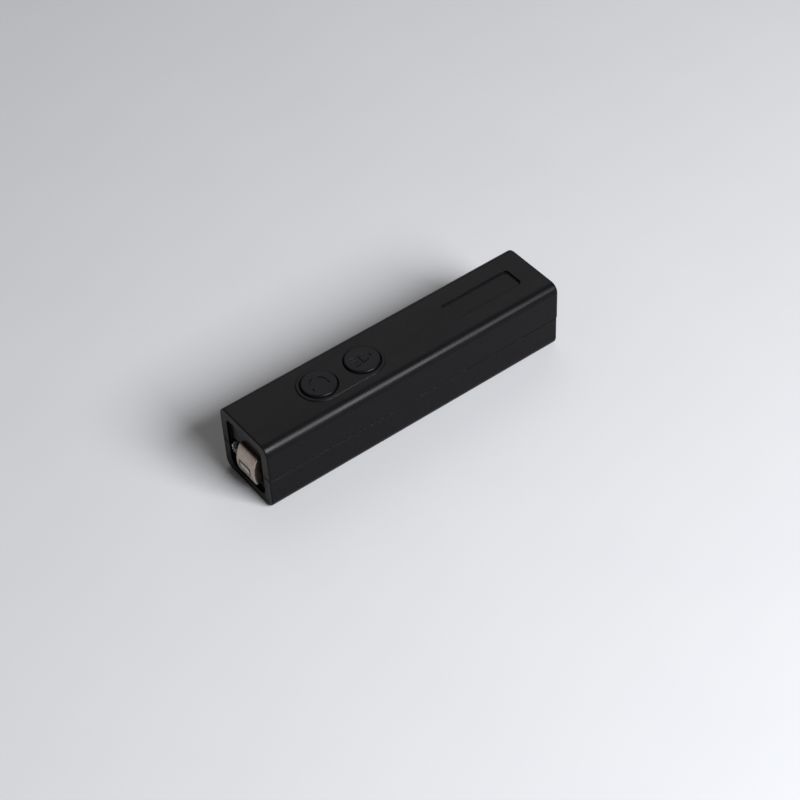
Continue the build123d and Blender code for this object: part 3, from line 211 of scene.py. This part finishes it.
def metal(name, colour, roughness):
    """Bare metal with fine grain, and slight tarnish in patches."""
    grain_size, patch_size = 0.3 * MM, 2.2 * MM
    f = Finish(name)
    grain = f.noise(grain_size, 3.0, 0.65, (1.0, 1.0, 1.0))
    patches = f.noise(patch_size, 3.0, 0.6)
    fresh = f.ramp(grain, 0.25, 0.75, roughness - 0.06, roughness + 0.08)
    f.set(
        Base_Color=f.mix(f.ramp(patches, 0.35, 0.75), colour, scaled(colour, 0.86, 0.82, 0.76)),
        Metallic=1.0,
        Roughness=f.math("ADD", fresh, f.ramp(patches, 0.3, 0.8, 0.0, 0.08)),
        Normal=f.bump(grain, 0.003 * MM, 0.6),
    )
    return f.material


def nickel_silver(name, colour, roughness):
    """Polished head can: wear lines along the banknote's travel, and edges lightened in colour as a
    painted highlight.
    """
    line_size, fine_size, patch_size = 1.1 * MM, 0.12 * MM, 1.6 * MM
    edge_radius = 0.12 * MM
    across_travel = (14.0, 0.7, 14.0)
    f = Finish(name)
    lines = f.noise(line_size, 4.0, 0.7, across_travel)
    fine = f.noise(fine_size, 2.0)
    patches = f.noise(patch_size, 4.0, 0.6)
    edges, rounded = f.corners(edge_radius)
    tarnished = scaled(colour, 0.8, 0.74, 0.68)
    streaked = f.mix(f.ramp(patches, 0.35, 0.7), colour, tarnished)
    lined = f.mix(f.math("MULTIPLY", f.ramp(lines, 0.45, 0.75), 0.35), streaked, tarnished)
    wear_and_painted_highlight = f.ramp(lines, 0.25, 0.75, roughness - 0.05, roughness + 0.08)
    f.set(
        # Painted highlight: sharp edges are lifted to 1.5 times the colour of the metal.
        Base_Color=f.mix(f.math("MULTIPLY", edges, 0.6), lined, scaled(colour, 1.5)),
        Metallic=1.0,
        Roughness=f.math("ADD", wear_and_painted_highlight, f.ramp(fine, 0.3, 0.8, 0.0, 0.05)),
        Normal=f.bump(lines, 0.003 * MM, 0.6, f.bump(fine, 0.0015 * MM, 0.5, rounded)),
    )
    return f.material


def core_alloy(name, colour, roughness):
    """Lapped edges of the head's thin laminations, seen as fine lines."""
    lamination, joint_share, lapping_size = 0.17 * MM, 0.22, 0.9 * MM
    f = Finish(name)
    joints = f.stripes("Y", lamination, joint_share)
    lapping = f.noise(lapping_size, 3.0, 0.6, (12.0, 1.0, 12.0))
    f.set(
        Base_Color=f.mix(f.math("MULTIPLY", joints, 0.6), colour, scaled(colour, 0.45)),
        Metallic=1.0,
        Roughness=f.ramp(lapping, 0.3, 0.7, roughness - 0.04, roughness + 0.1),
        Normal=f.bump(f.math("MULTIPLY", joints, -1.0), 0.003 * MM, 0.6),
    )
    return f.material


def plain_plastic(name, colour, roughness):
    """Small moulded pieces: even colour with a faint mottle, fine grain, and edges lightened as a
    painted highlight.
    """
    grain_size, cloud_size, edge_radius = 0.2 * MM, 1.8 * MM, 0.12 * MM
    f = Finish(name)
    grain = f.noise(grain_size, 2.0)
    cloud = f.noise(cloud_size, 3.0)
    edges, rounded = f.corners(edge_radius)
    mottled = f.mix(f.ramp(cloud, 0.3, 0.7), colour, scaled(colour, 0.8))
    f.set(
        # Painted highlight: sharp edges are lifted to 1.5 times the colour.
        Base_Color=f.mix(f.math("MULTIPLY", edges, 0.4), mottled, scaled(colour, 1.5)),
        Roughness=f.ramp(grain, 0.3, 0.7, roughness - 0.05, roughness + 0.06),
        Normal=f.bump(grain, 0.004 * MM, 0.5, rounded),
    )
    return f.material


def board_laminate(name, colour, roughness):
    """Solder mask over copper tracks: raised lighter lines on a fine glass weave."""
    track_pitch, weave_pitch, mask_size = 2.1 * MM, 0.5 * MM, 0.6 * MM
    order = 0.35
    f = Finish(name)
    second = f.cells(track_pitch, "F2", order).outputs["Distance"]
    first = f.cells(track_pitch, "F1", order).outputs["Distance"]
    tracks = f.ramp(f.math("SUBTRACT", second, first), 0.16, 0.10)
    weave = f.math("ADD", f.stripes("X", weave_pitch, 0.5), f.stripes("Y", weave_pitch, 0.5))
    woven = f.mix(f.math("MULTIPLY", weave, 0.12), colour, scaled(colour, 1.6))
    f.set(
        Base_Color=f.mix(tracks, woven, scaled(colour, 1.9)),
        Roughness=f.ramp(f.noise(mask_size, 2.0), 0.3, 0.7, roughness - 0.05, roughness + 0.08),
        Coat_Weight=0.4,
        Coat_Roughness=0.15,
        Normal=f.bump(tracks, 0.02 * MM, 0.6),
    )
    return f.material


def wound_wire(name, colour, letter, pitch):
    """Enamelled wire wound in close turns across an axis, with painted shade darkening the grooves
    between the turns.
    """
    f = Finish(name)
    turn = f.math("FRACT", f.math("MULTIPLY", f.axis(letter), 1 / pitch))
    crown = f.math("SINE", f.math("MULTIPLY", turn, math.pi))
    wander = f.noise(0.7 * MM, 2.0)
    f.set(
        # Painted shade: the colour falls to 0.3 of the wire's colour in the grooves between turns.
        Base_Color=f.mix(f.ramp(crown, 0.1, 0.7), scaled(colour, 0.3), colour),
        Metallic=0.9,
        Roughness=f.ramp(wander, 0.3, 0.7, 0.22, 0.36),
        Coat_Weight=0.6,
        Coat_Roughness=0.12,
        Normal=f.bump(crown, pitch / 3),
    )
    return f.material


def cell_wrap(name, wrap, band_colour, band_end):
    """Shrink film on the cell: a metallic band at the positive end, dark grey below, and a rule."""
    rule_gap, rule_width = 0.6 * MM, 0.5 * MM
    f = Finish(name)
    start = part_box("cell_sleeve")[0][0]
    rule_start = start + band_end + rule_gap
    banded = f.band("X", start - MM, start + band_end)
    rule = f.band("X", rule_start, rule_start + rule_width)
    wrinkles = f.noise(1.6 * MM, 3.0, 0.5, (0.3, 1.0, 1.0))
    printed = f.mix(f.math("MAXIMUM", banded, rule), wrap, band_colour)
    f.set(
        Base_Color=f.mix(f.ramp(wrinkles, 0.35, 0.75, 0.0, 0.25), printed, scaled(wrap, 0.6)),
        Metallic=f.math("MULTIPLY", banded, 0.8),
        Roughness=f.ramp(wrinkles, 0.3, 0.7, 0.22, 0.34),
        Coat_Weight=0.5,
        Coat_Roughness=0.1,
        Normal=f.bump(wrinkles, 0.02 * MM, 0.4),
    )
    return f.material


def foam(name, colour):
    """Open-cell foam: pitted all over, rough and dull, with painted shade darkening the pits."""
    f = Finish(name)
    pits = f.cells(0.35 * MM).outputs["Distance"]
    f.set(
        # Painted shade: the colour falls to 0.35 of the foam's colour in the hollows of the pits.
        Base_Color=f.mix(f.ramp(pits, 0.1, 0.6), scaled(colour, 0.35), colour),
        Roughness=0.95,
        Specular_IOR_Level=0.2,
        Normal=f.bump(pits, 0.1 * MM, 0.9),
    )
    return f.material


def clear_epoxy(name):
    """Cast clear lens with a faint violet cast and a light haze in patches."""
    f = Finish(name)
    haze = f.noise(1.4 * MM, 2.0)
    f.set(
        Base_Color=f.mix(f.ramp(haze, 0.3, 0.7), (0.95, 0.95, 0.98), (0.9, 0.91, 0.97)),
        Roughness=f.ramp(haze, 0.3, 0.7, 0.02, 0.07),
        Transmission_Weight=1.0,
        IOR=1.52,
    )
    return f.material


FINISHES = {
    "case_plastic": case_plastic("case_plastic", (0.0026, 0.0022, 0.0025), 0.32),
    "button_plastic": case_plastic("button_plastic", (0.0026, 0.0022, 0.0028), 0.3),
    "screw_steel": metal("screw_steel", (0.12, 0.12, 0.125), 0.35),
    "stem_plastic": plain_plastic("stem_plastic", (0.3, 0.06, 0.02), 0.4),
    "spring_steel": metal("spring_steel", (0.66, 0.66, 0.65), 0.22),
    "switch_plastic": plain_plastic("switch_plastic", (0.02, 0.02, 0.021), 0.45),
    "tinned_metal": metal("tinned_metal", (0.72, 0.71, 0.68), 0.3),
    "board_laminate": board_laminate("board_laminate", (0.008, 0.075, 0.024), 0.3),
    "chip_resin": plain_plastic("chip_resin", (0.016, 0.016, 0.017), 0.5),
    "capacitor_ceramic": plain_plastic("capacitor_ceramic", (0.33, 0.2, 0.1), 0.5),
    "ferrite": plain_plastic("ferrite", (0.05, 0.047, 0.044), 0.6),
    "capacitor_can": metal("capacitor_can", (0.78, 0.78, 0.78), 0.28),
    "trimmer_plastic": plain_plastic("trimmer_plastic", (0.03, 0.09, 0.4), 0.4),
    "nickel_silver": nickel_silver("nickel_silver", (0.415, 0.36, 0.322), 0.28),
    "core_alloy": core_alloy("core_alloy", (0.46, 0.42, 0.385), 0.25),
    "gap_brass": metal("gap_brass", (0.7, 0.52, 0.22), 0.3),
    "potting_resin": plain_plastic("potting_resin", (0.02, 0.014, 0.011), 0.3),
    "bobbin_plastic": plain_plastic("bobbin_plastic", (0.62, 0.57, 0.42), 0.45),
    "copper": wound_wire("copper", (0.75, 0.3, 0.12), "Z", 0.12 * MM),
    "fibre_board": plain_plastic("fibre_board", (0.19, 0.085, 0.03), 0.6),
    "foam": foam("foam", (0.03, 0.03, 0.032)),
    "clear_epoxy": clear_epoxy("clear_epoxy"),
    "cell_steel": metal("cell_steel", (0.7, 0.7, 0.7), 0.22),
    "cell_wrap": cell_wrap("cell_wrap", (0.03, 0.033, 0.04), (0.72, 0.5, 0.24), 9 * MM),
    "seal_plastic": plain_plastic("seal_plastic", (0.03, 0.03, 0.03), 0.5),
    "motor_steel": metal("motor_steel", (0.6, 0.6, 0.6), 0.3),
    "motor_plastic": plain_plastic("motor_plastic", (0.7, 0.7, 0.66), 0.45),
    "magnet": metal("magnet", (0.2, 0.2, 0.21), 0.45),
    "boot_rubber": plain_plastic("boot_rubber", (0.015, 0.015, 0.015), 0.7),
    "red_insulation": plain_plastic("red_insulation", (0.4, 0.012, 0.012), 0.4),
    "black_insulation": plain_plastic("black_insulation", (0.01, 0.01, 0.01), 0.4),
    "blue_insulation": plain_plastic("blue_insulation", (0.012, 0.05, 0.3), 0.4),
    "white_insulation": plain_plastic("white_insulation", (0.75, 0.75, 0.72), 0.4),
}

for part in frame["record"]["subparts"]:
    mesh = nodes[part["node"]].data
    mesh.materials.clear()
    mesh.materials.append(FINISHES[part["material_slot"]])

# The lead frame is cast into the lens. Its surface is grown a little, so that it doesn't coincide
# with the wall of the hollow that the lens has for it.
LEAD_GROWTH = 0.02 * MM
seated = nodes["uv_led_leads"].modifiers.new("cast_in", "DISPLACE")
seated.strength = LEAD_GROWTH
seated.mid_level = 0.0


def add_spring_dome(name):
    """The spring disc under a switch stem, copied with a mesh of its own onto the root body."""
    node = nodes[f"{name}_switch_dome"]
    dome = node.copy()
    dome.data = node.data.copy()
    dome.name = f"{name}_spring_dome"
    bpy.context.scene.collection.objects.link(dome)
    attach(dome, "root")
    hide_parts(node.name)
    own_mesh(dome)


for name in ("alert", "torch"):
    add_spring_dome(name)


# ---------------------------------------------------------------- stage
FLOOR_SIZE = 6.0
FLOOR_DROP = 0.02 * MM
AIM = Vector((0.0, 0.0, 10 * MM))

# Soft lights: direction from the object, distance, width and height in metres, brightness, tint.
SOFTBOXES = {
    "key": ((0.19, -0.77, 0.60), 0.9, 0.48, 0.46, 36.0, (0.94, 0.96, 1.0)),
    "back_fill": ((0.404, 0.575, 0.711), 1.2, 1.1, 0.9, 1.5, (1.0, 0.98, 1.0)),
    "head_fill": ((-0.75, 0.6, 0.3), 1.2, 1.4, 0.8, 0.25, (1.0, 0.88, 0.82)),
}
WORLD_BRIGHTNESS = 0.12

CAMERA_PLACE = (-0.218178, -0.313753, 0.388004)
CAMERA_RIGHT = (0.793256, -0.607504, -0.041026)
CAMERA_UP = (0.455776, 0.547755, 0.701593)
CAMERA_LENS = 91.33
CAMERA_SENSOR = 36.0
CAMERA_CLIP_START = 0.01


def make_floor():
    bpy.ops.mesh.primitive_plane_add(size=FLOOR_SIZE, location=(0, 0, -FLOOR_DROP))
    floor = bpy.context.object
    floor.name = "floor"
    f = Finish("floor_card")
    f.set(
        Base_Color=f.mix(f.noise(40 * MM, 3.0), (0.36, 0.36, 0.36), (0.344, 0.344, 0.348)),
        Roughness=0.85,
        Specular_IOR_Level=0.2,
    )
    floor.data.materials.append(f.material)


def add_softbox(name, direction, distance, width, height, radiance, tint):
    """A rectangular soft light that faces the object; radiance is the brightness of its face."""
    light = bpy.data.lights.new(name, "AREA")
    light.color = tint
    light.shape = "RECTANGLE"
    light.size = width
    light.size_y = height
    light.energy = radiance * math.pi * width * height
    lamp = bpy.data.objects.new(name, light)
    bpy.context.scene.collection.objects.link(lamp)
    towards = Vector(direction).normalized()
    lamp.location = AIM + towards * distance
    lamp.rotation_euler = towards.to_track_quat("Z", "Y").to_euler()


def set_world(brightness):
    """Even white light from all round."""
    world = bpy.data.worlds.new("studio")
    world.use_nodes = True
    background = world.node_tree.nodes["Background"]
    background.inputs["Color"].default_value = (1.0, 1.0, 1.0, 1.0)
    background.inputs["Strength"].default_value = brightness
    bpy.context.scene.world = world


def add_camera():
    """Three-quarter view from above the head end, on the near long side."""
    camera = bpy.data.objects.new("camera", bpy.data.cameras.new("camera"))
    bpy.context.scene.collection.objects.link(camera)
    right, up = Vector(CAMERA_RIGHT), Vector(CAMERA_UP)
    turn = Matrix((right, up, right.cross(up))).transposed()
    camera.matrix_world = Matrix.Translation(CAMERA_PLACE) @ turn.to_4x4()
    camera.data.lens = CAMERA_LENS
    camera.data.sensor_width = CAMERA_SENSOR
    camera.data.clip_start = CAMERA_CLIP_START
    bpy.context.scene.camera = camera


make_floor()
for name, box in SOFTBOXES.items():
    add_softbox(name, *box)
set_world(WORLD_BRIGHTNESS)
add_camera()
bpy.context.scene.view_settings.view_transform = "Standard"
